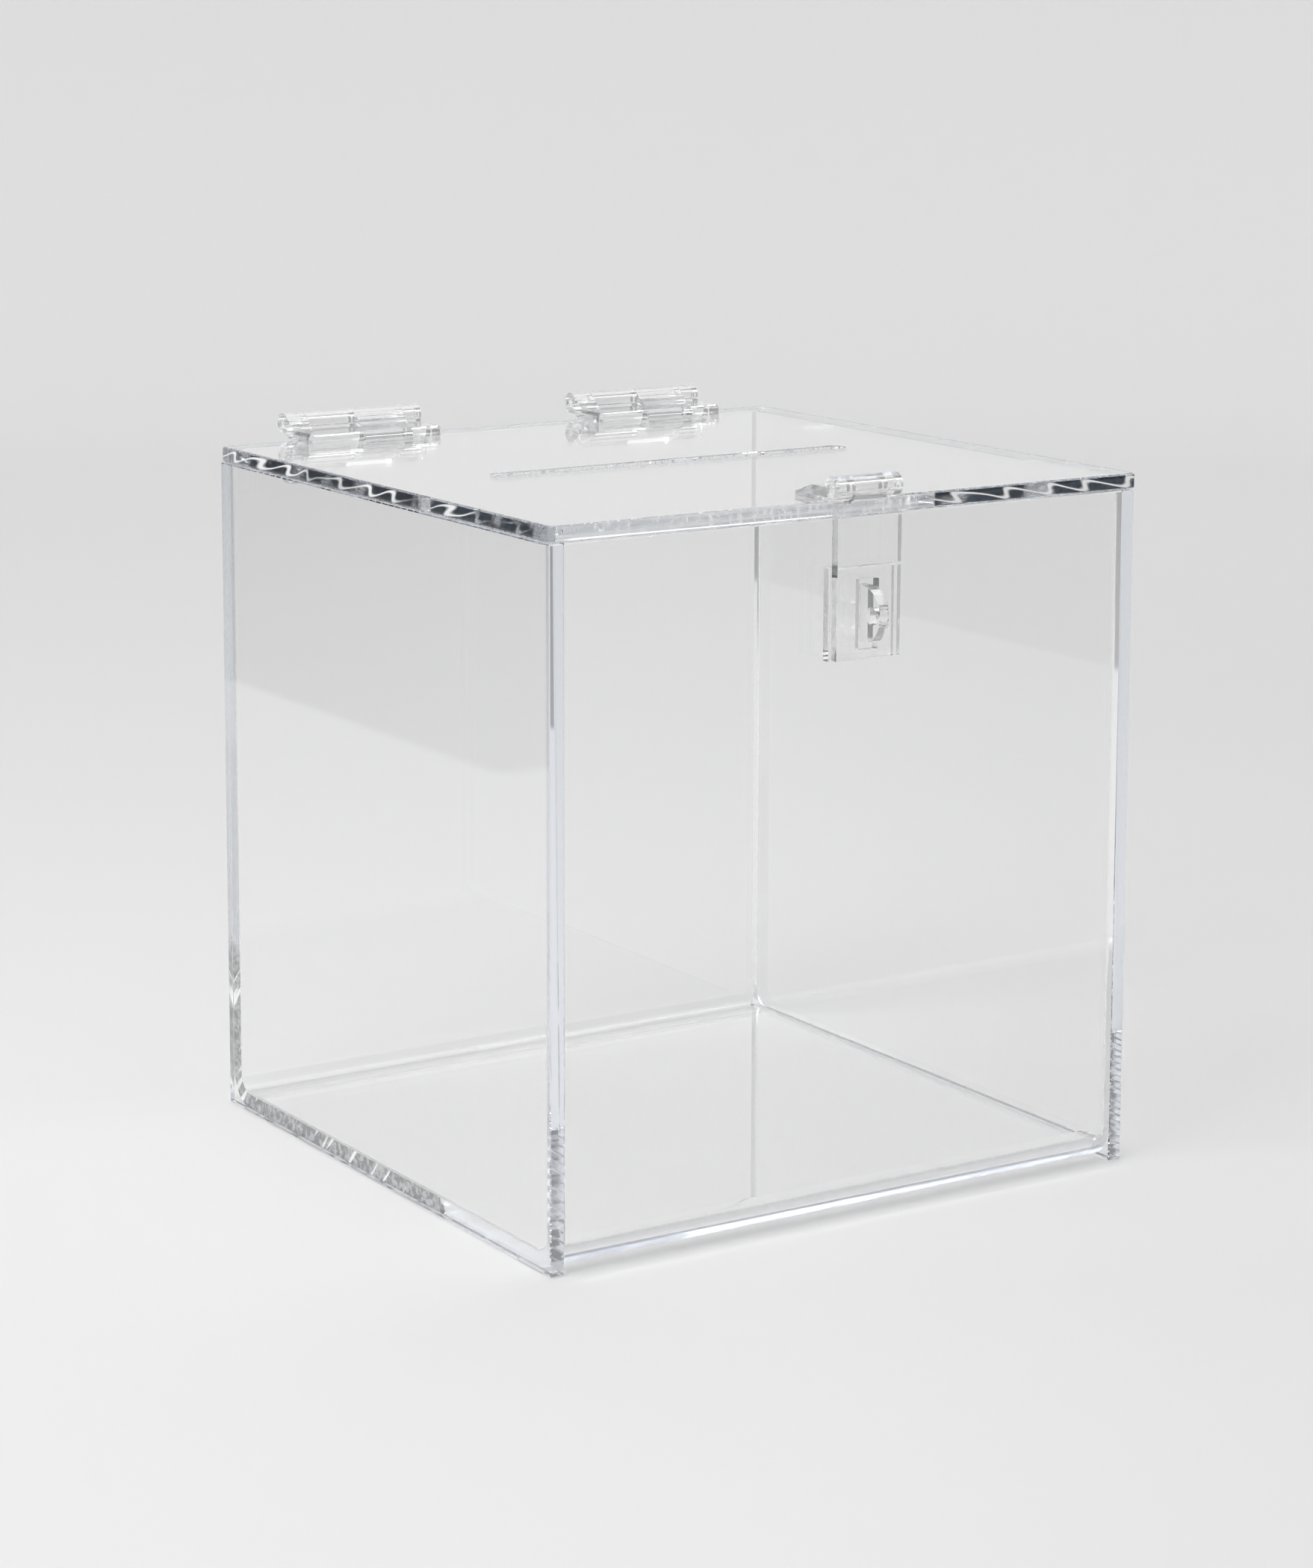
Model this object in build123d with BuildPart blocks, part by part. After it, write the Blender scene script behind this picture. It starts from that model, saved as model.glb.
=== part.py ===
"""Clear acrylic donation box with a slotted, hinged lid and a padlock hasp.

Millimetres, +Z up.  The origin is the centre of the footprint, on the surface the
box stands on.  The hasp faces -Y, the hinges are along the back (+Y).

The body is one sheet heat-bent to a U (front wall, base and back wall) with a flat
side wall cemented over each end.  The lid is a flat sheet that rests on the wall
tops.  It turns on two moulded butt hinges, and a hinged strap on its front edge
drops over a staple on the front wall.
"""

import os
from math import cos, radians, sin

from build123d import *

os.makedirs("parts", exist_ok=True)

# ---------------------------------------------------------------- driving dimensions
SHEET = 6.0             # thickness of the bent sheet and of the lid
SIDE_T = 5.8            # thickness of the two side walls
BOX_W = 254.0           # outside, left to right
BOX_D = 248.0           # outside, front to back
WALL_H = 258.0          # height of the four walls
BEND_R = 7.0            # inside radius of the two heat bends
CEMENT = 0.05           # film of cement between glued faces
EDGE = 0.4              # broken edge of a sheet

LID_GAP = 0.4           # lid stands off the wall tops
LID_OVERHANG = 1.0      # lid passes the right wall by this much
LID_BACK_SHORT = 0.4    # lid stops short of the wall leaves of the hinges
LID_CORNER_R = 2.0
SLOT_L = 157.0
SLOT_W = 8.0
SLOT_Y = -4.0
SLOT_CORNER_R = 2.0

LEAF_T = 4.0            # moulded leaf, hinge and hasp alike
LEAF_BEVEL = 1.2
LEAF_CORNER_R = 3.0
HINGE_L = 60.0
HINGE_X = 66.5          # centre of each hinge, left and right of the middle
HINGE_KNUCKLES = (8.5, 21.5, 21.5, 8.5)
HINGE_LEAF_W = 23.0     # pin axis to the free edge of a leaf
HINGE_AXIS_OFF = 6.2    # pin axis above the lid and behind the back wall
BARREL_R = 4.2
PIN_R = 1.5
PIN_CLEAR = 0.05        # radial, pin in bore
PIN_SHORT = 0.4         # each pin end is this far inside the barrel
KNUCKLE_GAP = 0.3       # between neighbouring knuckles
NOTCH_GAP = 0.5         # leaf to the other leaf's knuckles
WEB_TOP = 3.0           # the web meets the plate's free face this far in
WEB_FLAT = 1.6          # the web leaves the barrel this far before the pin axis
WEB_IN = 0.35           # and this far inside the barrel's underside
WEB_ANGLE = 37.5        # the web's upper face meets the barrel here, above the lid
PIN_CHAMFER = 0.25
MARGIN = 1.0            # how far a cutting shape passes the face that it cuts

HASP_W = 27.5
HASP_KNUCKLES = (6.9, 13.7, 6.9)
HASP_R = 4.35
HASP_AXIS_UP = 5.0      # pin axis above the lid
HASP_AXIS_OUT = 5.0     # pin axis in front of the front wall
HASP_LEAF_L = 23.3      # pin axis to the back edge of the lid leaf
HASP_LEAF_START = 1.0   # pin axis to the front edge of the lid leaf
HASP_LEAF_EDGE = 1.5    # upright edge under the lid leaf's wide bevel
HASP_BEVEL_RUN = 4.3
STRAP_T_TOP = 3.9
STRAP_T_END = 3.1
STRAP_DROP = 5.2        # pin axis to the strap's shoulders
STRAP_END_Z = 208.0
STRAP_SLOT_W = 8.6
STRAP_SLOT_H = 25.6
STRAP_SLOT_R = 0.6
STRAP_FLARE = 2.2       # the strap's knuckle widens into the shoulders

STAPLE_Z = 224.0        # centre of the staple, its loop and the strap's slot
STAPLE_H = 33.4
STAPLE_T = 3.6
STAPLE_BEVEL = 0.5
LOOP_T = 4.2
LOOP_R = 10.3
LOOP_NECK = 4.0         # straight part of the loop, from the plate
PADLOCK_R = 3.2
PADLOCK_OUT = 9.4       # padlock hole, from the plate's face

# ---------------------------------------------------------------- derived dimensions
HALF_W = BOX_W / 2
HALF_D = BOX_D / 2
SHELL_L = BOX_W - 2 * SIDE_T - 2 * CEMENT
LID_Z = WALL_H + LID_GAP
LID_TOP = LID_Z + SHEET
BORE_R = PIN_R + PIN_CLEAR

HINGE_AXIS_Y = HALF_D + HINGE_AXIS_OFF
HINGE_AXIS_Z = LID_TOP + HINGE_AXIS_OFF
HASP_AXIS_Y = -HALF_D - HASP_AXIS_OUT
HASP_AXIS_Z = LID_TOP + HASP_AXIS_UP

def side_plane(x, y=0.0, z=0.0):
    """A plane across the box at x, with local X along +Y and local Y along +Z."""
    return Plane(origin=(x, y, z), x_dir=(0, 1, 0), z_dir=(1, 0, 0))


def save(part, name):
    """Label a finished piece and write it to its own STEP file."""
    part.label = name
    export_step(part, f"parts/{name}.step")


def knuckle_spans(x0, lengths):
    """Start and end of each knuckle along X, with half a gap taken off inner ends."""
    spans = []
    start = x0
    for index, length in enumerate(lengths):
        low = start + (KNUCKLE_GAP / 2 if index > 0 else 0)
        high = start + length - (KNUCKLE_GAP / 2 if index < len(lengths) - 1 else 0)
        spans.append((low, high))
        start += length
    return spans


# ---------------------------------------------------------------- body of the box
def make_bent_shell():
    """Front wall, base and back wall in one sheet bent to a U."""
    outer_r = BEND_R + SHEET
    with BuildPart() as shell:
        with BuildSketch(side_plane(-SHELL_L / 2)):
            with BuildLine():
                FilletPolyline(
                    (-HALF_D, WALL_H), (-HALF_D, 0), (HALF_D, 0), (HALF_D, WALL_H), radius=outer_r
                )
                Line((HALF_D, WALL_H), (HALF_D - SHEET, WALL_H))
                FilletPolyline(
                    (HALF_D - SHEET, WALL_H),
                    (HALF_D - SHEET, SHEET),
                    (-HALF_D + SHEET, SHEET),
                    (-HALF_D + SHEET, WALL_H),
                    radius=BEND_R,
                )
                Line((-HALF_D + SHEET, WALL_H), (-HALF_D, WALL_H))
            make_face()
        extrude(amount=SHELL_L)
        chamfer(shell.faces().sort_by(Axis.Z)[-2:].edges(), EDGE)
    save(shell.part, "bent_shell")


def make_side_wall(name, x_low):
    """A flat side wall with every edge broken."""
    with BuildPart() as wall:
        with BuildSketch(side_plane(x_low)):
            with Locations((0, WALL_H / 2)):
                Rectangle(BOX_D, WALL_H)
        extrude(amount=SIDE_T)
        chamfer(wall.edges(), EDGE)
    save(wall.part, name)


def make_lid_panel():
    """Flat lid with rounded corners and the coin and note slot."""
    with BuildPart() as lid:
        with BuildSketch(Plane.XY.offset(LID_Z)):
            with Locations((LID_OVERHANG / 2, -LID_BACK_SHORT / 2)):
                RectangleRounded(BOX_W + LID_OVERHANG, BOX_D - LID_BACK_SHORT, LID_CORNER_R)
            with Locations((0, SLOT_Y)):
                RectangleRounded(SLOT_L, SLOT_W, SLOT_CORNER_R, mode=Mode.SUBTRACT)
        extrude(amount=SHEET)
        flat_faces = lid.faces().filter_by(Axis.Z)
        chamfer(flat_faces.edges(), EDGE)
    save(lid.part, "lid_panel")


# ---------------------------------------------------------------- moulded hinges
def make_hinge_leaf(name, centre_x, own, flipped):
    """One leaf of a butt hinge.

    The leaf is drawn as the lid's: the pin axis at the local origin, the plate
    towards -Y, its glued face HINGE_AXIS_OFF below the axis.  The wall's leaf is the
    same moulding mirrored in the plane that bisects the lid and the wall.
    own lists the knuckles that this leaf carries.
    """
    spans = knuckle_spans(-HINGE_L / 2, HINGE_KNUCKLES)
    others = [spans[i] for i in range(len(spans)) if i not in own]
    glued = -HINGE_AXIS_OFF + CEMENT
    free = glued + LEAF_T
    plate_start = HINGE_AXIS_OFF + NOTCH_GAP
    notch = BARREL_R + NOTCH_GAP
    web_angle = radians(WEB_ANGLE)
    web_meets_barrel = (-BARREL_R * cos(web_angle), BARREL_R * sin(web_angle))
    with BuildPart() as leaf:
        with BuildSketch(Plane.XY.offset(glued)):
            with Locations((0, -(HINGE_LEAF_W + plate_start) / 2)):
                Rectangle(HINGE_L, HINGE_LEAF_W - plate_start)
        extrude(amount=LEAF_T)
        corners = leaf.edges().filter_by(Axis.Z).group_by(Axis.Y)[0]
        fillet(corners, LEAF_CORNER_R)
        top = leaf.faces().sort_by(Axis.Z)[-1]
        rim = top.edges().sort_by(Axis.Y)[:-1]
        chamfer(rim, LEAF_BEVEL)
        # web from the plate up to the barrel, then the barrel itself
        for low, high in (spans[i] for i in own):
            with BuildSketch(side_plane(low)):
                with BuildLine():
                    Polyline(
                        (-plate_start - WEB_TOP, glued),
                        (-plate_start, glued),
                        (-WEB_FLAT, -BARREL_R + WEB_IN),
                        (0, 0),
                        web_meets_barrel,
                        (-plate_start - WEB_TOP, free),
                        close=True,
                    )
                make_face()
            extrude(amount=high - low)
            with BuildSketch(side_plane(low)):
                Circle(BARREL_R)
            extrude(amount=high - low)
        # room for the other leaf's knuckles
        for low, high in others:
            with BuildSketch(side_plane(low - KNUCKLE_GAP)):
                Circle(notch)
            extrude(amount=high - low + 2 * KNUCKLE_GAP, mode=Mode.SUBTRACT)
        with BuildSketch(side_plane(-HINGE_L / 2)):
            Circle(BORE_R)
        extrude(amount=HINGE_L, mode=Mode.SUBTRACT)
    made = leaf.part
    if flipped:
        made = made.mirror(Plane(origin=(0, 0, 0), x_dir=(1, 0, 0), z_dir=(0, 1, -1)))
    save(Pos(centre_x, HINGE_AXIS_Y, HINGE_AXIS_Z) * made, name)


def make_pin(name, centre_x, length, axis_y, axis_z):
    """Plain clear pin with chamfered ends."""
    with BuildPart() as pin:
        with BuildSketch(side_plane(centre_x - length / 2, axis_y, axis_z)):
            Circle(PIN_R)
        extrude(amount=length)
        chamfer(pin.edges().filter_by(GeomType.CIRCLE), PIN_CHAMFER)
    save(pin.part, name)


# ---------------------------------------------------------------- padlock hasp
def make_hasp_lid_leaf():
    """Leaf on the lid that carries the two outer knuckles, with wide bevels."""
    spans = knuckle_spans(-HASP_W / 2, HASP_KNUCKLES)
    back_y = HASP_AXIS_Y + HASP_LEAF_L
    front_y = HASP_AXIS_Y + HASP_LEAF_START
    bevel_rise = LEAF_T - HASP_LEAF_EDGE
    with BuildPart() as leaf:
        with BuildSketch(Plane.XY.offset(LID_TOP + CEMENT)):
            with Locations((0, (back_y + front_y) / 2)):
                Rectangle(HASP_W, back_y - front_y)
        extrude(amount=LEAF_T)
        top = leaf.faces().sort_by(Axis.Z)[-1]
        rim = top.edges().sort_by(Axis.Y)[1:]
        chamfer(rim, HASP_BEVEL_RUN, bevel_rise, reference=top)
        for low, high in (spans[0], spans[2]):
            with BuildSketch(side_plane(low, HASP_AXIS_Y, HASP_AXIS_Z)):
                Circle(HASP_R)
            extrude(amount=high - low)
        # clearance around the strap's knuckle
        low, high = spans[1]
        with BuildSketch(side_plane(low - KNUCKLE_GAP, HASP_AXIS_Y, HASP_AXIS_Z)):
            Circle(HASP_R + NOTCH_GAP)
            with Locations((-HASP_R, -HASP_R)):
                Rectangle(2 * HASP_R, 2 * HASP_R)
        extrude(amount=high - low + 2 * KNUCKLE_GAP, mode=Mode.SUBTRACT)
        with BuildSketch(side_plane(-HASP_W / 2, HASP_AXIS_Y, HASP_AXIS_Z)):
            Circle(BORE_R)
        extrude(amount=HASP_W, mode=Mode.SUBTRACT)
    save(leaf.part, "hasp_lid_leaf")


def make_hasp_strap():
    """Strap with its knuckle, flared web, tapering plate and slot for the staple."""
    spans = knuckle_spans(-HASP_W / 2, HASP_KNUCKLES)
    low, high = spans[1]
    shoulder_z = HASP_AXIS_Z - STRAP_DROP
    strap_back = HASP_AXIS_Y
    with BuildPart() as strap:
        with BuildSketch(side_plane(-HASP_W / 2)):
            with BuildLine():
                Polyline(
                    (strap_back, STRAP_END_Z),
                    (strap_back, shoulder_z),
                    (strap_back - STRAP_T_TOP, shoulder_z),
                    (strap_back - STRAP_T_END, STRAP_END_Z),
                    close=True,
                )
            make_face()
        extrude(amount=HASP_W)
        # web that widens from the knuckle to the shoulders
        with BuildSketch(Plane.XZ.offset(-strap_back)):
            with BuildLine():
                Polyline(
                    (low, HASP_AXIS_Z),
                    (high, HASP_AXIS_Z),
                    (high, shoulder_z + STRAP_FLARE),
                    (high + STRAP_FLARE, shoulder_z),
                    (high + STRAP_FLARE, shoulder_z - MARGIN),
                    (low - STRAP_FLARE, shoulder_z - MARGIN),
                    (low - STRAP_FLARE, shoulder_z),
                    (low, shoulder_z + STRAP_FLARE),
                    close=True,
                )
            make_face()
        extrude(amount=STRAP_T_TOP)
        # the flare stays clear of the two outer knuckles
        for outer_low, outer_high in (spans[0], spans[2]):
            with BuildSketch(side_plane(outer_low - KNUCKLE_GAP, HASP_AXIS_Y, HASP_AXIS_Z)):
                Circle(HASP_R + KNUCKLE_GAP)
            extrude(amount=outer_high - outer_low + 2 * KNUCKLE_GAP, mode=Mode.SUBTRACT)
        with BuildSketch(side_plane(low, HASP_AXIS_Y, HASP_AXIS_Z)):
            Circle(HASP_R)
        extrude(amount=high - low)
        with BuildSketch(Plane.XZ.offset(-strap_back - MARGIN)):
            with Locations((0, STAPLE_Z)):
                RectangleRounded(STRAP_SLOT_W, STRAP_SLOT_H, STRAP_SLOT_R)
        extrude(amount=STRAP_T_TOP + 2 * MARGIN, mode=Mode.SUBTRACT)
        with BuildSketch(side_plane(-HASP_W / 2, HASP_AXIS_Y, HASP_AXIS_Z)):
            Circle(BORE_R)
        extrude(amount=HASP_W, mode=Mode.SUBTRACT)
    save(strap.part, "hasp_strap")


def make_hasp_staple():
    """Plate on the front wall with the D-shaped loop that takes a padlock."""
    face_y = -HALF_D - CEMENT - STAPLE_T
    with BuildPart() as staple:
        with BuildSketch(Plane.XZ.offset(HALF_D + CEMENT)):
            with Locations((0, STAPLE_Z)):
                Rectangle(HASP_W, STAPLE_H)
        extrude(amount=STAPLE_T)
        chamfer(staple.faces().sort_by(Axis.Y)[0].edges(), STAPLE_BEVEL)
        with BuildSketch(side_plane(-LOOP_T / 2, face_y, STAPLE_Z)):
            with Locations((-LOOP_NECK, 0)):
                Circle(LOOP_R)
            with Locations((-(LOOP_NECK - MARGIN) / 2, 0)):
                Rectangle(LOOP_NECK + MARGIN, 2 * LOOP_R)
            with Locations((LOOP_R + MARGIN / 2, 0)):
                Rectangle(2 * LOOP_R, 2 * (LOOP_R + MARGIN), mode=Mode.SUBTRACT)
            with Locations((-PADLOCK_OUT, 0)):
                Circle(PADLOCK_R, mode=Mode.SUBTRACT)
        extrude(amount=LOOP_T)
    save(staple.part, "hasp_staple")


# ---------------------------------------------------------------- build everything
make_bent_shell()
make_side_wall("left_wall", -HALF_W)
make_side_wall("right_wall", HALF_W - SIDE_T)
make_lid_panel()

for side, centre in (("left", -HINGE_X), ("right", HINGE_X)):
    make_hinge_leaf(f"{side}_hinge_lid_leaf", centre, own=(0, 2), flipped=False)
    make_hinge_leaf(f"{side}_hinge_wall_leaf", centre, own=(1, 3), flipped=True)
    make_pin(
        f"{side}_hinge_pin", centre, HINGE_L - 2 * PIN_SHORT, HINGE_AXIS_Y, HINGE_AXIS_Z
    )

make_hasp_lid_leaf()
make_hasp_strap()
make_hasp_staple()
make_pin("hasp_pin", 0, HASP_W - 2 * PIN_SHORT, HASP_AXIS_Y, HASP_AXIS_Z)
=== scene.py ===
"""Looks of the clear acrylic donation box: materials, cement beads, studio and camera.

Metres, in the part's own frame: +Z up, hasp towards -Y, hinges towards +Y.  A pair of
numbers named ..._STEP holds where a smooth step starts (0) and where it ends (1).
Noise scales are in waves per metre.
"""

import math

import bmesh
import bpy
from mathutils import Matrix, Vector


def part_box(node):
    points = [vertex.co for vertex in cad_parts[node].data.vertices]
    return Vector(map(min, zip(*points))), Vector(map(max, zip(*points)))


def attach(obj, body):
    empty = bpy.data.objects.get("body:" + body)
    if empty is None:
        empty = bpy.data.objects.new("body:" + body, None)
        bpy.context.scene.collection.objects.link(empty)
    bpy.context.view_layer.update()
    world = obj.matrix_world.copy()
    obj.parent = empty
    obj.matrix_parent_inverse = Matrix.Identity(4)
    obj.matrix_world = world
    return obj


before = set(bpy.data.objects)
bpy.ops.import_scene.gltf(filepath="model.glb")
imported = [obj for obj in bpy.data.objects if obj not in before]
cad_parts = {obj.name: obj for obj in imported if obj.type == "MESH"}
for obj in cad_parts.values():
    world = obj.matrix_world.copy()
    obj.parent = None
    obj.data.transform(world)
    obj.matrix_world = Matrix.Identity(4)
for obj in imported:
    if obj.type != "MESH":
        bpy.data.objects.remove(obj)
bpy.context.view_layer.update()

MM = 0.001

# ------------------------------------------------------------------ camera
CAMERA_AT = (-0.8037, -1.2482, 0.4615)
CAMERA_YAW = 32.63       # degrees from +Y towards +X
CAMERA_PITCH = -8.87
CAMERA_ROLL = 0.12
CAMERA_LENS = 90.27
CAMERA_SHIFT = -0.15     # keeps the box's uprights nearly parallel

# ------------------------------------------------------------------ studio
FLOOR_DROP = 0.3 * MM    # the floor lies this far under the base
FLOOR_R = 2.0
FLOOR_RINGS = (0.0, 0.3, 0.7, 1.2, 1.6, FLOOR_R)
SWEEP_R = 0.6
SWEEP_STEPS = 12
SWEEP_SEGMENTS = 96
WALL_TOP = 2.4
PAPER_ROUGH = 0.9
PAPER_GLOSS = 0.1
PAPER_FROM_R = 0.4       # from here outwards the paper turns from the floor's white to the wall's
FLOOR_WHITE = 0.70
WALL_WHITE = 0.86
SHADE_GREY = 0.36        # unlit side of the room, behind and left of the box
FRONT_SHADE_GREY = 0.10  # the dim wall in front of it
SHADE_X_STEP = (-0.525, -0.537)  # the pale floor ends here on that side
SHADE_Y_STEP = (0.59, 0.62)
FRONT_X_STEP = (0.1, 0.4)        # the wall in front, to the right, is dim from these on
FRONT_Y_STEP = (0.9, 1.3)        # measured towards -Y
FRONT_Z_STEP = (0.40, 0.50)
RIGHTWARDS = (0.842, 0.539)  # X and -Y parts of the camera's right-hand direction
FALLOFF_SHADE_STEP = (0.0, 0.24)  # painted shade of the light's falloff: the floor is a little darker that way
FALLOFF_SHADE_R_STEP = (1.8, 0.9)  # but not far out
FALLOFF_SHADE_TO = 0.97
LIGHT_BAND_WHITE = 0.99        # a painted band of light on the wall paper, whiter, for the lid to mirror
LIGHT_BAND_LOW_STEP = (0.44, 0.50)
LIGHT_BAND_HIGH_STEP = (0.74, 0.68)
# name, position, the point it faces, side and power in watts of each square softbox
SOFTBOXES = (
    ("softbox_top", (0.1, 0.1, 2.3), (0, 0, 0), 2.6, 32),
    ("softbox_left", (-1.5, -0.3, 1.9), (0, 0, 0.2), 1.4, 25),
)
SKY_STRENGTH = 0.42
CLIP_START = 0.01
GLASS_BOUNCES = 96       # light passes many faces on its way through the box
DIFFUSE_BOUNCES = 4

# ------------------------------------------------------------------ cement beads
SHEET = 6.0 * MM         # of the bent shell, and the inside radius of its bends
BEND_R = 7.0 * MM
BEND_STEPS = 8
BEAD_R = 0.9 * MM
BEAD_GAP = 0.02 * MM     # the bead stands off the faces that it joins
BEAD_STEPS = 4
BEAD_SHORT = 1.5 * MM    # it stops this far under the wall tops

# ------------------------------------------------------------------ acrylic
WHITE = (1.0, 1.0, 1.0, 1.0)
ACRYLIC_IOR = 1.49
SHEET_TINT = (0.82, 0.87, 0.94, 1.0)
SHEET_DENSITY = 2.0
MOULDED_TINT = (0.86, 0.89, 0.93, 1.0)
MOULDED_DENSITY = 4.0
TINT_DARK = (0.004, 0.007, 0.012, 1.0)

# polish with faint wipe marks, on every sheet
WIPE_SCALE = 14.0
WIPE_STRETCH = (1.0, 1.0, 0.35)
WIPE_STEP = (0.45, 0.85)
WIPE_ROUGH = 0.02

# sawn underside of the side walls
UNDER_STEP = (0.4 * MM, 0.2 * MM)
UNDER_SCALE = 60.0
UNDER_STRETCH = (0.6, 1.0, 1.0)
UNDER_ROUGH = 0.15
UNDER_RELIEF = 0.8 * MM
PATCH_STEP = (0.44, 0.56)
PATCH_CLEAR = 0.4

# sawn ends of the bent sheet: dry and matt at the back of the left end, wetted elsewhere
END_FACING_STEP = (0.5, 0.9)
END_STEP = (-1.0 * MM, -0.6 * MM)   # from the end's face
DRY_Y_STEP = (-0.045, -0.043)
DRY_Z_STEP = (0.07, 0.055)
DRY_X_STEP = (0.0, -0.05)
RAGGED_SCALE = 120.0
RAGGED_BY = 0.03
SAW_MARK_SCALE = 420.0
SAW_MARK_STRETCH = (1.0, 1.0, 0.12)
SAW_MARK_TURN = 0.6
SCRATCH_SCALE = 300.0
SCRATCH_STRETCH = (1.0, 1.0, 0.08)
SCRATCH_TURN = 0.75
SCRATCH_STEP = (0.62, 0.70)
SPECKLE_SCALE = 450.0
SPECKLE_STEP = (0.40, 0.62)
SPECKLE_DARK = 0.16
SPECKLE_LIGHT = 0.46
DRY_MATT = 0.9
DRY_ROUGH = 0.25
DRY_RELIEF = 0.06 * MM
WET_TINT = 0.85
WET_ROUGH = 0.03
WET_FLOOR_STEP = (16 * MM, 8 * MM)
WET_FLOOR_MATT = 0.5

# upright faces of the lid
UPRIGHT_STEP = (0.5, 0.2)
RIM_STEP = (0.10, 0.11)             # the edges are out here, the slot is not
FRONT_EDGE_STEP = (3 * MM, 2 * MM)  # from the lid's front
CORNER_STEP = (2 * MM, 3 * MM)      # from the lid's left side
SATIN_X_STEP = (0.035, 0.034)       # the front edge is satin to the left of here
SCRAPE_SCALE = 700.0
SCRAPE_STRETCH = (0.01, 1.0, 1.0)
SCRAPE_STEP = (0.42, 0.58)
SCRAPE_MATT_LOW = 0.05
SCRAPE_MATT_HIGH = 0.5
CROWN = 0.4 * MM                    # flame polishing leaves the other edges round and wavy
WAVE_SCALE = 70.0
WAVE = 0.15 * MM
GLINT_PITCH = 21 * MM               # they are also painted dark, a painted shade, with one leaning painted glint after another
GLINT_LEAN = 0.38
GLINT_HEIGHT = 0.55
GLINT_STEP = (0.34, 0.08)
GLINT_MATT = 0.9
WOBBLE_SCALE = 28.0
WOBBLE = 1.6
FADE_SCALE = 16.0
FADE_STEP = (0.34, 0.5)
# painted glow: lighter patches in the edges' painted shade
GLOW_SCALE = 60.0
GLOW_STEP = (0.50, 0.66)
GLOW = 0.6
# painted highlight along the top and bottom of the dark edges
PAINTED_ARRIS_LIGHT_STEP = (0.72, 0.86)
CLEAR_GAP_Y = -0.038                # a short stretch where the side edges' painted shade is lighter
CLEAR_GAP_STEP = (4.5 * MM, 4.2 * MM)
CLEAR_BACK_STEP = (0.098, 0.101)    # and their back ends, where it is lighter too
CLEAR_LEVEL = 0.6
SLOT_RIPPLE_SCALE = 450.0
SLOT_RIPPLE = 0.08 * MM
SPARKLE_SCALE = 700.0
SPARKLE_STRETCH = (1.0, 1.0, 0.3)
SPARKLE_ROUGH = 0.12
SPARKLE_STEP = (0.62, 0.50)

# moulded parts, drawn rod and cement
MOULDED_CLEAR = 0.97
FLOW_SCALE = 220.0
FLOW_ROUGH = 0.02
MOULDED_WAVE_SCALE = 60.0
MOULDED_WAVE = 0.004 * MM
# painted shade on the strap's right side, beside its slot
STRAP_SIDE_STEP = (13.0 * MM, 13.3 * MM)
STRAP_FACING_STEP = (0.6, 0.8)
STRAP_SHADE_Z = 226.5 * MM
STRAP_SHADE_STEP = (13.5 * MM, 12.5 * MM)  # up or down from that height
STRAP_PAINTED_SHADE = 0.95
ROD_LINE_SCALE = 500.0
ROD_LINE_STRETCH = (0.05, 1.0, 1.0)
ROD_ROUGH = 0.05
ROD_RELIEF = 0.005 * MM
CLOUD_SCALE = 180.0
CLOUD_ROUGH = 0.2
CLOUD_RELIEF = 0.1 * MM


# ------------------------------------------------------------------ node helpers
def new_material(name):
    """An empty node material with its output node."""
    material = bpy.data.materials.new(name)
    material.use_nodes = True
    tree = material.node_tree
    tree.nodes.clear()
    output = tree.nodes.new("ShaderNodeOutputMaterial")
    return material, tree, output


def math_node(tree, operation, first, second=None, third=None, clamp=False):
    """A Math node; each operand is a number or a socket."""
    node = tree.nodes.new("ShaderNodeMath")
    node.operation = operation
    node.use_clamp = clamp
    for socket, value in zip(node.inputs, (first, second, third)):
        if value is None:
            continue
        if isinstance(value, (int, float)):
            socket.default_value = value
        else:
            tree.links.new(value, socket)
    return node.outputs[0]


def times(tree, first, *others):
    """The product of sockets and numbers."""
    for other in others:
        first = math_node(tree, "MULTIPLY", first, other)
    return first


def largest(tree, first, *others):
    """The largest of several sockets or numbers."""
    for other in others:
        first = math_node(tree, "MAXIMUM", first, other)
    return first


def size_of(tree, value):
    """The value without its sign."""
    return math_node(tree, "ABSOLUTE", value)


def axes_of(tree, output_name):
    """X, Y and Z of one of the object's own texture coordinates."""
    coordinates = tree.nodes.new("ShaderNodeTexCoord")
    split = tree.nodes.new("ShaderNodeSeparateXYZ")
    tree.links.new(coordinates.outputs[output_name], split.inputs[0])
    return split.outputs["X"], split.outputs["Y"], split.outputs["Z"]


def smooth_step(tree, value, step, origin=0.0):
    """0 before the step starts, 1 after it ends, smooth between; origin moves the step."""
    start, end = step
    node = tree.nodes.new("ShaderNodeMapRange")
    node.interpolation_type = "SMOOTHSTEP"
    node.inputs["From Min"].default_value = origin + start
    node.inputs["From Max"].default_value = origin + end
    tree.links.new(value, node.inputs["Value"])
    return node.outputs["Result"]


def noise(tree, scale, detail=3.0, stretch=(1.0, 1.0, 1.0), turn=0.0):
    """Noise over the object's own coordinates, turned about X and stretched if wanted."""
    coordinates = tree.nodes.new("ShaderNodeTexCoord")
    mapping = tree.nodes.new("ShaderNodeMapping")
    mapping.vector_type = "TEXTURE"
    mapping.inputs["Rotation"].default_value = (turn, 0.0, 0.0)
    mapping.inputs["Scale"].default_value = [1 / factor for factor in stretch]
    texture = tree.nodes.new("ShaderNodeTexNoise")
    texture.inputs["Scale"].default_value = scale
    texture.inputs["Detail"].default_value = detail
    tree.links.new(coordinates.outputs["Object"], mapping.inputs["Vector"])
    tree.links.new(mapping.outputs["Vector"], texture.inputs["Vector"])
    return texture.outputs["Fac"]


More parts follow.
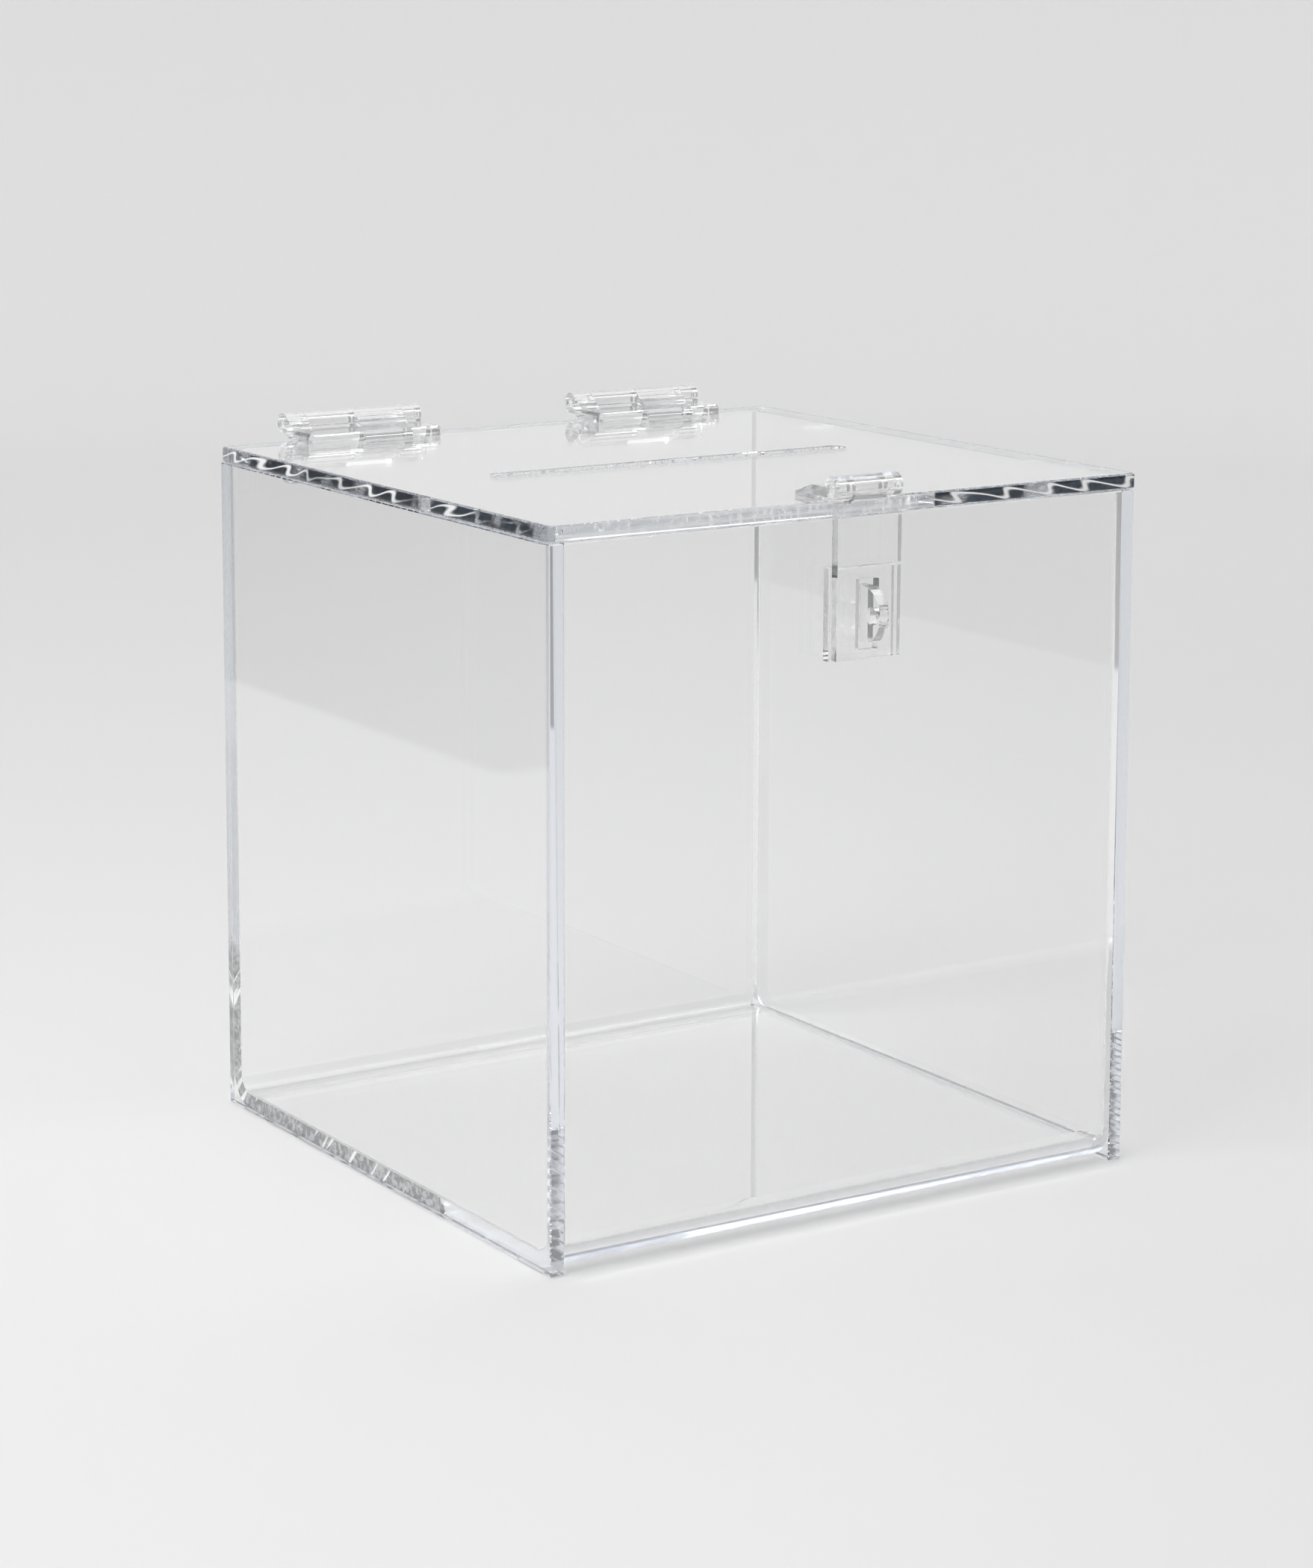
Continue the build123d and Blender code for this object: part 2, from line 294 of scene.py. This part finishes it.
def blend(tree, factor, low, high):
    """low where factor is 0, high where it is 1; both are numbers or sockets."""
    node = tree.nodes.new("ShaderNodeMapRange")
    node.inputs["From Min"].default_value = 0.0
    node.inputs["From Max"].default_value = 1.0
    for socket, value in ((node.inputs["To Min"], low), (node.inputs["To Max"], high)):
        if isinstance(value, (int, float)):
            socket.default_value = value
        else:
            tree.links.new(value, socket)
    tree.links.new(factor, node.inputs["Value"])
    return node.outputs["Result"]


def clear_shader(tree, output, tint, density):
    """Solid clear acrylic: a transmitting surface and a faint absorbing volume."""
    shader = tree.nodes.new("ShaderNodeBsdfPrincipled")
    shader.inputs["Base Color"].default_value = WHITE
    shader.inputs["Transmission Weight"].default_value = 1.0
    shader.inputs["IOR"].default_value = ACRYLIC_IOR
    absorption = tree.nodes.new("ShaderNodeVolumeAbsorption")
    absorption.inputs["Color"].default_value = tint
    absorption.inputs["Density"].default_value = density
    tree.links.new(shader.outputs[0], output.inputs["Surface"])
    tree.links.new(absorption.outputs[0], output.inputs["Volume"])
    return shader


def add_bump(tree, shader, height, distance=1.0):
    """Fine relief on the shader's normal; the height is a share of the distance."""
    bump = tree.nodes.new("ShaderNodeBump")
    bump.inputs["Strength"].default_value = 1.0
    bump.inputs["Distance"].default_value = distance
    tree.links.new(height, bump.inputs["Height"])
    tree.links.new(bump.outputs["Normal"], shader.inputs["Normal"])


def add_clearness(tree, shader, matt):
    """The surface transmits where matt is 0 and scatters where it is 1."""
    tree.links.new(math_node(tree, "SUBTRACT", 1.0, matt), shader.inputs["Transmission Weight"])


def grey_tint(tree, shader, value):
    """Light that enters through the surface is dimmed to a grey or blue-black."""
    colour = tree.nodes.new("ShaderNodeMix")
    colour.data_type = "RGBA"
    colour.inputs["A"].default_value = TINT_DARK
    colour.inputs["B"].default_value = WHITE
    tree.links.new(value, colour.inputs["Factor"])
    tree.links.new(colour.outputs["Result"], shader.inputs["Base Color"])


# ------------------------------------------------------------------ materials
def polished_roughness(tree):
    """Near-mirror polish with faint wipe marks."""
    wipe = smooth_step(tree, noise(tree, WIPE_SCALE, 4.0, WIPE_STRETCH), WIPE_STEP)
    return blend(tree, wipe, 0.0, WIPE_ROUGH)


def wall_material(name):
    """Flat cast sheet: polished all over but for the sawn edge that it stands on."""
    material, tree, output = new_material(name)
    shader = clear_shader(tree, output, SHEET_TINT, SHEET_DENSITY)
    # by height, not by normal: a face seen from inside the sheet has its normal turned over
    under = smooth_step(tree, axes_of(tree, "Object")[2], UNDER_STEP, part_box("left_wall")[0][2])
    marks = noise(tree, UNDER_SCALE, 2.0, UNDER_STRETCH)
    rough = blend(tree, under, polished_roughness(tree), blend(tree, marks, 0.0, UNDER_ROUGH))
    tree.links.new(rough, shader.inputs["Roughness"])
    add_bump(tree, shader, times(tree, marks, under), UNDER_RELIEF)
    patches = times(tree, smooth_step(tree, marks, PATCH_STEP), under)
    tree.links.new(blend(tree, patches, 1.0, PATCH_CLEAR), shader.inputs["Transmission Weight"])
    return material


def dry_part(tree, ends, x, y, z):
    """Where the sawn ends stayed dry: low down at the back of the left end, with a ragged rim."""
    ragged = times(tree, math_node(tree, "SUBTRACT", noise(tree, RAGGED_SCALE), 0.5), RAGGED_BY)
    back = smooth_step(tree, math_node(tree, "ADD", y, ragged), DRY_Y_STEP)
    low = smooth_step(tree, math_node(tree, "ADD", z, ragged), DRY_Z_STEP)
    left = smooth_step(tree, x, DRY_X_STEP)
    return times(tree, times(tree, back, low), times(tree, ends, left))


def shell_material(name):
    """Bent sheet: polished faces, and sawn ends that the cement has only partly wetted."""
    material, tree, output = new_material(name)
    shader = clear_shader(tree, output, SHEET_TINT, SHEET_DENSITY)
    x, y, z = axes_of(tree, "Object")
    facing = smooth_step(tree, size_of(tree, axes_of(tree, "Normal")[0]), END_FACING_STEP)
    at_end = smooth_step(tree, size_of(tree, x), END_STEP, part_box("bent_shell")[1][0])
    ends = times(tree, facing, at_end)
    dry = dry_part(tree, ends, x, y, z)

    saw_marks = noise(tree, SAW_MARK_SCALE, 3.0, SAW_MARK_STRETCH, SAW_MARK_TURN)
    scratches = noise(tree, SCRATCH_SCALE, 1.0, SCRATCH_STRETCH, SCRATCH_TURN)
    scratches = smooth_step(tree, scratches, SCRATCH_STEP)
    speckle = smooth_step(tree, noise(tree, SPECKLE_SCALE, 2.0), SPECKLE_STEP)
    dry_tint = math_node(
        tree, "ADD", blend(tree, speckle, SPECKLE_DARK, SPECKLE_LIGHT), scratches, clamp=True
    )
    wet_tint = blend(tree, saw_marks, WET_TINT, 1.0)
    grey_tint(tree, shader, blend(tree, dry, blend(tree, ends, 1.0, wet_tint), dry_tint))

    wetted = math_node(tree, "SUBTRACT", ends, dry, clamp=True)
    at_floor = times(tree, wetted, smooth_step(tree, z, WET_FLOOR_STEP))
    matt = math_node(tree, "ADD", times(tree, dry, DRY_MATT), times(tree, at_floor, WET_FLOOR_MATT))
    add_clearness(tree, shader, matt)
    rough = blend(tree, dry, blend(tree, ends, polished_roughness(tree), WET_ROUGH), DRY_ROUGH)
    tree.links.new(rough, shader.inputs["Roughness"])
    grooves = math_node(tree, "ADD", saw_marks, scratches)
    add_bump(tree, shader, times(tree, grooves, dry), DRY_RELIEF)
    return material


def wavy_glints(tree, along, across):
    """One fine wavy painted glint along an edge; its waves lean over, so they look like a row of
    Zs.
    """
    wobble = times(tree, noise(tree, WOBBLE_SCALE, 1.0), WOBBLE)
    turns = math_node(tree, "ADD", math_node(tree, "DIVIDE", along, GLINT_PITCH), wobble)
    leaning = math_node(tree, "ADD", turns, times(tree, across, GLINT_LEAN))
    wave = math_node(tree, "SINE", times(tree, leaning, 2 * math.pi))
    off_line = math_node(tree, "SUBTRACT", across, times(tree, wave, GLINT_HEIGHT))
    return smooth_step(tree, size_of(tree, off_line), GLINT_STEP)


def lid_faces(tree, x, y):
    """Masks of the lid's upright faces: all, flame-polished edges (which carry painted shade and
    glints), satin edge and slot walls.
    """
    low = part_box("lid_panel")[0]
    upright = smooth_step(tree, size_of(tree, axes_of(tree, "Normal")[2]), UPRIGHT_STEP)
    far_x = smooth_step(tree, size_of(tree, x), RIM_STEP)
    far_y = smooth_step(tree, size_of(tree, y), RIM_STEP)
    outer = times(tree, upright, largest(tree, far_x, far_y))
    slot_wall = math_node(tree, "SUBTRACT", upright, outer)
    front = smooth_step(tree, y, FRONT_EDGE_STEP, low[1])
    left_part = smooth_step(tree, x, SATIN_X_STEP)
    past_corner = smooth_step(tree, x, CORNER_STEP, low[0])
    satin = times(tree, front, left_part, past_corner)
    flamed_with_painted_shade = times(tree, outer, math_node(tree, "SUBTRACT", 1.0, satin))
    return upright, flamed_with_painted_shade, satin, slot_wall


def gaps_in_painted_shade(tree, y):
    """Where the painted shade on the lid's side edges is lighter: a short gap and the back ends."""
    from_gap = size_of(tree, math_node(tree, "SUBTRACT", y, CLEAR_GAP_Y))
    gap = smooth_step(tree, from_gap, CLEAR_GAP_STEP)
    back_end = smooth_step(tree, y, CLEAR_BACK_STEP)
    return times(tree, largest(tree, gap, back_end), CLEAR_LEVEL)


def lid_material(name):
    """Sheet with flame-polished edges, crowned and wavy, painted dark with painted glints, and a
    sawn slot.
    """
    material, tree, output = new_material(name)
    shader = clear_shader(tree, output, SHEET_TINT, SHEET_DENSITY)
    x, y, z = axes_of(tree, "Object")
    upright, flamed_with_painted_shade, satin, slot_wall = lid_faces(tree, x, y)

    low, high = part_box("lid_panel")
    middle_z = (low[2] + high[2]) / 2
    half_t = (high[2] - low[2]) / 2
    across = math_node(tree, "DIVIDE", math_node(tree, "SUBTRACT", z, middle_z), half_t)
    crown = times(tree, times(tree, across, across), -CROWN)
    wave = times(tree, noise(tree, WAVE_SCALE, 1.0), WAVE)
    relief = times(tree, math_node(tree, "ADD", crown, wave), flamed_with_painted_shade)
    ripple = times(tree, noise(tree, SLOT_RIPPLE_SCALE, 1.0), times(tree, slot_wall, SLOT_RIPPLE))
    add_bump(tree, shader, math_node(tree, "ADD", relief, ripple))

    faded = smooth_step(tree, noise(tree, FADE_SCALE, 1.0), FADE_STEP)
    # painted glints along the edges, faded in places
    lines = times(tree, wavy_glints(tree, math_node(tree, "ADD", x, y), across), faded)
    glow = times(tree, smooth_step(tree, noise(tree, GLOW_SCALE, 2.0), GLOW_STEP), GLOW)
    painted_arris_light = smooth_step(tree, size_of(tree, across), PAINTED_ARRIS_LIGHT_STEP)
    painted_light_parts = largest(tree, lines, glow, painted_arris_light, gaps_in_painted_shade(tree, y))
    # painted shade: the flame-polished edges are tinted dark, except for the painted light parts
    grey_tint(tree, shader, blend(tree, flamed_with_painted_shade, 1.0, painted_light_parts))

    sparkle = noise(tree, SPARKLE_SCALE, 2.0, SPARKLE_STRETCH)
    slot_rough = blend(tree, sparkle, 0.0, SPARKLE_ROUGH)
    rough = blend(tree, slot_wall, polished_roughness(tree), slot_rough)
    tree.links.new(rough, shader.inputs["Roughness"])
    # the painted glints are also made matt white
    painted_glint_lines = times(tree, times(tree, lines, flamed_with_painted_shade), GLINT_MATT)
    white_slot = times(tree, slot_wall, smooth_step(tree, sparkle, SPARKLE_STEP))
    scrapes = smooth_step(tree, noise(tree, SCRAPE_SCALE, 1.0, SCRAPE_STRETCH), SCRAPE_STEP)
    scraped = times(
        tree, times(tree, satin, upright), blend(tree, scrapes, SCRAPE_MATT_LOW, SCRAPE_MATT_HIGH)
    )
    matt = math_node(
        tree, "ADD", math_node(tree, "ADD", painted_glint_lines, white_slot), scraped, clamp=True
    )
    add_clearness(tree, shader, matt)
    return material


def paint_strap_side_shade(tree, shader):
    """Painted shade: beside its slot the strap's right side is tinted dark, which shows in the
    slot.
    """
    x, y, z = axes_of(tree, "Object")
    facing = smooth_step(tree, size_of(tree, axes_of(tree, "Normal")[0]), STRAP_FACING_STEP)
    right = smooth_step(tree, x, STRAP_SIDE_STEP)
    from_dark_z = size_of(tree, math_node(tree, "SUBTRACT", z, STRAP_SHADE_Z))
    beside = smooth_step(tree, from_dark_z, STRAP_SHADE_STEP)
    strap_shade = times(tree, right, beside, facing, STRAP_PAINTED_SHADE)
    grey_tint(tree, shader, math_node(tree, "SUBTRACT", 1.0, strap_shade))


def moulded_material(name, painted_shade_side=False):
    """Injection-moulded acrylic: slightly milky and wavy, with a softer polish."""
    material, tree, output = new_material(name)
    shader = clear_shader(tree, output, MOULDED_TINT, MOULDED_DENSITY)
    shader.inputs["Transmission Weight"].default_value = MOULDED_CLEAR
    flow = noise(tree, FLOW_SCALE)
    tree.links.new(blend(tree, flow, 0.0, FLOW_ROUGH), shader.inputs["Roughness"])
    add_bump(tree, shader, noise(tree, MOULDED_WAVE_SCALE, 1.0), MOULDED_WAVE)
    # the strap's right side gets painted shade
    if painted_shade_side:
        paint_strap_side_shade(tree, shader)
    return material


def pin_material(name):
    """Drawn acrylic rod with fine lengthwise lines."""
    material, tree, output = new_material(name)
    shader = clear_shader(tree, output, MOULDED_TINT, MOULDED_DENSITY)
    lines = noise(tree, ROD_LINE_SCALE, 2.0, ROD_LINE_STRETCH)
    tree.links.new(blend(tree, lines, 0.0, ROD_ROUGH), shader.inputs["Roughness"])
    add_bump(tree, shader, lines, ROD_RELIEF)
    return material


def set_material(node, material):
    """Give a CAD node its material, in every slot it has."""
    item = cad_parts[node]
    if not item.material_slots:
        item.data.materials.append(material)
    for material_slot in item.material_slots:
        material_slot.material = material


def dress_cad_nodes():
    """Every CAD node keeps its shape and takes a procedural acrylic."""
    shell = shell_material("acrylic_bent_shell")
    flat = wall_material("acrylic_flat_sheet")
    lid = lid_material("acrylic_lid")
    moulded = moulded_material("acrylic_moulded")
    strap = moulded_material("acrylic_strap", painted_shade_side=True)
    rod = pin_material("acrylic_rod")
    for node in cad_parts:
        if node == "bent_shell":
            set_material(node, shell)
        elif node == "lid_panel":
            set_material(node, lid)
        elif node.endswith("_wall"):
            set_material(node, flat)
        elif node.endswith("_pin"):
            set_material(node, rod)
        elif node == "hasp_strap":
            set_material(node, strap)
        else:
            set_material(node, moulded)


# ------------------------------------------------------------------ cement beads
def inner_profile(offset):
    """Y and Z along the inside of the bent shell, this far off its faces."""
    low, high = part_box("bent_shell")
    wall_y = high[1] - SHEET - offset
    floor_z = low[2] + SHEET + offset
    radius = BEND_R - offset
    top_z = high[2] - BEAD_SHORT
    points = [(-wall_y, top_z)]
    for side, start in ((-1, math.pi), (1, math.pi * 1.5)):
        for step in range(BEND_STEPS + 1):
            angle = start + math.pi / 2 * step / BEND_STEPS
            y = side * (wall_y - radius) + radius * math.cos(angle)
            z = floor_z + radius + radius * math.sin(angle)
            points.append((y, z))
    points.append((wall_y, top_z))
    return points


def cement_bead(name, wall_x, inwards):
    """The fillet of set cement that runs round a side wall's joint with the shell."""
    corner = wall_x + inwards * BEAD_GAP
    rows = []
    for step in range(BEAD_STEPS + 1):
        angle = math.pi / 2 * step / BEAD_STEPS
        out = corner + inwards * BEAD_R * (1 - math.sin(angle))
        offset = BEAD_GAP + BEAD_R * (1 - math.cos(angle))
        rows.append([(out, y, z) for y, z in inner_profile(offset)])
    rows.append([(corner, y, z) for y, z in inner_profile(BEAD_GAP)])
    mesh = bpy.data.meshes.new(name)
    bm = bmesh.new()
    rings = [[bm.verts.new(point) for point in row] for row in rows]
    for first, second in zip(rings, rings[1:] + rings[:1]):
        for index in range(len(first) - 1):
            bm.faces.new((first[index], first[index + 1], second[index + 1], second[index]))
    bm.faces.new([ring[0] for ring in rings])
    bm.faces.new([ring[-1] for ring in reversed(rings)])
    bmesh.ops.recalc_face_normals(bm, faces=bm.faces)
    bm.to_mesh(mesh)
    bm.free()
    mesh.materials.append(bpy.data.materials["acrylic_cement"])
    bead = bpy.data.objects.new(name, mesh)
    bpy.context.scene.collection.objects.link(bead)
    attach(bead, "box")


def cement_material(name):
    """Set solvent cement: clear, slightly cloudy in places."""
    material, tree, output = new_material(name)
    shader = clear_shader(tree, output, SHEET_TINT, SHEET_DENSITY)
    cloud = noise(tree, CLOUD_SCALE, 2.0)
    tree.links.new(blend(tree, cloud, 0.0, CLOUD_ROUGH), shader.inputs["Roughness"])
    add_bump(tree, shader, cloud, CLOUD_RELIEF)
    return material


def add_cement_beads():
    """One bead inside each side wall."""
    cement_material("acrylic_cement")
    cement_bead("cement_bead_left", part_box("left_wall")[1][0], 1)
    cement_bead("cement_bead_right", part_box("right_wall")[0][0], -1)


# ------------------------------------------------------------------ studio
def sweep_profile():
    """Radius and height along the studio's floor, curved sweep and wall."""
    profile = [(radius, 0.0) for radius in FLOOR_RINGS]
    for step in range(1, SWEEP_STEPS + 1):
        angle = math.pi / 2 * step / SWEEP_STEPS
        profile.append((FLOOR_R + SWEEP_R * math.sin(angle), SWEEP_R * (1 - math.cos(angle))))
    profile.append((FLOOR_R + SWEEP_R, WALL_TOP))
    return profile


def paper_whiteness(tree, x, y, z):
    """How white the lit paper is, from the floor out to the wall, with painted shade where the
    light falls off to the right and a painted band of light for the lid to mirror.
    """
    radius = math_node(tree, "SQRT", math_node(tree, "ADD", times(tree, x, x), times(tree, y, y)))
    outwards = smooth_step(tree, radius, (PAPER_FROM_R, FLOOR_R + SWEEP_R))
    paper = blend(tree, outwards, FLOOR_WHITE, WALL_WHITE)
    sideways = math_node(
        tree, "SUBTRACT", times(tree, x, RIGHTWARDS[0]), times(tree, y, RIGHTWARDS[1])
    )
    # painted shade: the paper darkens towards the camera's right, where the light falls off
    falloff_shade = times(
        tree, smooth_step(tree, sideways, FALLOFF_SHADE_STEP), smooth_step(tree, radius, FALLOFF_SHADE_R_STEP)
    )
    paper = times(tree, paper, blend(tree, falloff_shade, 1.0, FALLOFF_SHADE_TO))
    # painted light: a whiter band of the wall that the lid mirrors
    light_band = times(tree, smooth_step(tree, z, LIGHT_BAND_LOW_STEP), smooth_step(tree, z, LIGHT_BAND_HIGH_STEP))
    return blend(tree, light_band, paper, LIGHT_BAND_WHITE)


def sweep_material():
    """Pale paper, with two unlit parts of the room in shade."""
    material, tree, output = new_material("studio_paper")
    shader = tree.nodes.new("ShaderNodeBsdfPrincipled")
    shader.inputs["Roughness"].default_value = PAPER_ROUGH
    shader.inputs["Specular IOR Level"].default_value = PAPER_GLOSS
    x, y, z = axes_of(tree, "Object")
    shade = times(tree, smooth_step(tree, x, SHADE_X_STEP), smooth_step(tree, y, SHADE_Y_STEP))
    front_shade = times(
        tree,
        smooth_step(tree, times(tree, y, -1.0), FRONT_Y_STEP),
        smooth_step(tree, x, FRONT_X_STEP),
        smooth_step(tree, z, FRONT_Z_STEP),
    )
    lit = blend(tree, front_shade, paper_whiteness(tree, x, y, z), FRONT_SHADE_GREY)
    value = blend(tree, shade, lit, SHADE_GREY)
    colour = tree.nodes.new("ShaderNodeCombineColor")
    for channel in colour.inputs:
        tree.links.new(value, channel)
    tree.links.new(colour.outputs[0], shader.inputs["Base Color"])
    tree.links.new(shader.outputs[0], output.inputs["Surface"])
    return material


def build_studio():
    """A round paper sweep under and around the box, open at the top."""
    mesh = bpy.data.meshes.new("studio_sweep")
    bm = bmesh.new()
    rings = []
    for radius, height in sweep_profile()[1:]:
        ring = []
        for index in range(SWEEP_SEGMENTS):
            angle = 2 * math.pi * index / SWEEP_SEGMENTS
            ring.append(bm.verts.new((radius * math.cos(angle), radius * math.sin(angle), height)))
        rings.append(ring)
    bm.faces.new(rings[0])
    for inner, outer in zip(rings, rings[1:]):
        for index in range(SWEEP_SEGMENTS):
            following = (index + 1) % SWEEP_SEGMENTS
            bm.faces.new((inner[index], outer[index], outer[following], inner[following]))
    bm.to_mesh(mesh)
    bm.free()
    for polygon in mesh.polygons:
        polygon.use_smooth = True
    sweep = bpy.data.objects.new("studio_sweep", mesh)
    sweep.location.z = -FLOOR_DROP
    mesh.materials.append(sweep_material())
    bpy.context.scene.collection.objects.link(sweep)


def area_light(name, at, target, side, power):
    """A soft square light that faces a point."""
    data = bpy.data.lights.new(name, "AREA")
    data.shape = "SQUARE"
    data.size = side
    data.energy = power
    light = bpy.data.objects.new(name, data)
    light.location = at
    light.rotation_euler = (Vector(target) - Vector(at)).to_track_quat("-Z", "Y").to_euler()
    bpy.context.scene.collection.objects.link(light)


def build_lights():
    """One large overhead softbox, a smaller one from the left, and a dim sky."""
    for softbox in SOFTBOXES:
        area_light(*softbox)
    world = bpy.data.worlds.new("studio_world")
    world.use_nodes = True
    background = world.node_tree.nodes["Background"]
    background.inputs["Color"].default_value = WHITE
    background.inputs["Strength"].default_value = SKY_STRENGTH
    bpy.context.scene.world = world


def build_camera():
    """The main view, over the front left corner."""
    data = bpy.data.cameras.new("main_camera")
    data.lens = CAMERA_LENS
    data.shift_y = CAMERA_SHIFT
    data.clip_start = CLIP_START
    camera = bpy.data.objects.new("main_camera", data)
    turn = Matrix.Rotation(math.radians(-CAMERA_YAW), 4, "Z")
    tilt = Matrix.Rotation(math.radians(90 + CAMERA_PITCH), 4, "X")
    roll = Matrix.Rotation(math.radians(CAMERA_ROLL), 4, "Z")
    camera.matrix_world = Matrix.Translation(CAMERA_AT) @ turn @ tilt @ roll
    bpy.context.scene.collection.objects.link(camera)
    bpy.context.scene.camera = camera


def set_light_paths():
    """Enough bounces for light to pass every sheet of the box."""
    scene = bpy.context.scene
    scene.cycles.max_bounces = GLASS_BOUNCES
    scene.cycles.transmission_bounces = GLASS_BOUNCES
    scene.cycles.glossy_bounces = GLASS_BOUNCES
    scene.cycles.diffuse_bounces = DIFFUSE_BOUNCES
    scene.cycles.blur_glossy = 0.0
    scene.view_settings.view_transform = "Standard"


dress_cad_nodes()
add_cement_beads()
build_studio()
build_lights()
build_camera()
set_light_paths()
